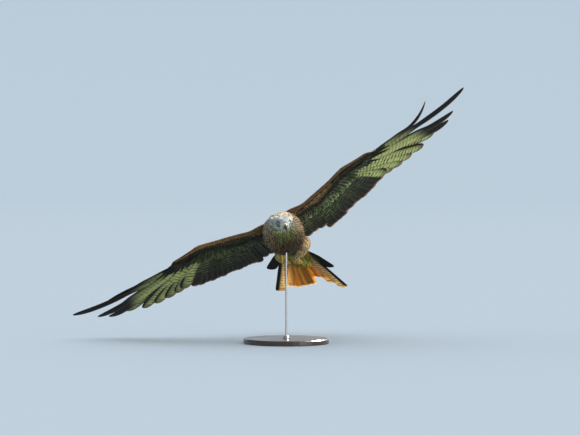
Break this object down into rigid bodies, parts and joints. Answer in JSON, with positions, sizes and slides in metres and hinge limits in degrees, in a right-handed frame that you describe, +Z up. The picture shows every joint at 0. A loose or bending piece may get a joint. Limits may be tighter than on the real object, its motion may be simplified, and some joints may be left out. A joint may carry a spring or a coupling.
{
  "type": "red kite bird model on display stand",
  "caption": "Life-size red kite gliding in a steep bank with spread fingered wings and a forked tail, held over a flat round base by one slim rod.",
  "frame": {"origin": "centre of the underside of the stand's round base", "axes": "+Z up, +X towards the bird's raised left wing and along the wingspan as the picture shows it, -Y towards the picture's camera, which the head faces"},
  "size_m": [1.4012, 0.7009, 0.9014],
  "materials": {
    "pale_feathers": "soft matte feathers",
    "brown_feathers": "soft matte feathers",
    "dark_feathers": "smooth satin feathers",
    "rufous_feathers": "smooth satin feathers",
    "yellow_skin": "waxy scaled skin",
    "horn": "polished horn",
    "eye": "wet glossy eye",
    "base_wood": "dark satin lacquer",
    "rod_steel": "satin"
  },
  "bodies": {
    "root": {"head": "pale_feathers", "neck": "pale_feathers", "cere": "yellow_skin", "bill_upper": "horn", "bill_lower": "horn", "eye_left": "eye", "eye_right": "eye", "trunk": "brown_feathers", "rump": "brown_feathers", "tail": "rufous_feathers", "wing_left_upper_arm": "brown_feathers", "wing_left_forearm": "dark_feathers", "wing_left_hand": "dark_feathers", "wing_left_primary_7": "dark_feathers", "wing_left_primary_8": "dark_feathers", "wing_left_primary_9": "dark_feathers", "wing_left_primary_10": "dark_feathers", "wing_left_alula": "dark_feathers", "wing_right_upper_arm": "brown_feathers", "wing_right_forearm": "dark_feathers", "wing_right_hand": "dark_feathers", "wing_right_primary_7": "dark_feathers", "wing_right_primary_8": "dark_feathers", "wing_right_primary_9": "dark_feathers", "wing_right_primary_10": "dark_feathers", "wing_right_alula": "dark_feathers", "thigh_left": "brown_feathers", "thigh_right": "brown_feathers", "foot_left": "yellow_skin", "foot_right": "yellow_skin", "claw_left_1": "horn", "claw_left_2": "horn", "claw_left_3": "horn", "claw_left_4": "horn", "claw_right_1": "horn", "claw_right_2": "horn", "claw_right_3": "horn", "claw_right_4": "horn", "stand_base": "base_wood", "stand_ferrule": "rod_steel", "stand_rod": "rod_steel"}
  },
  "joints": []
}
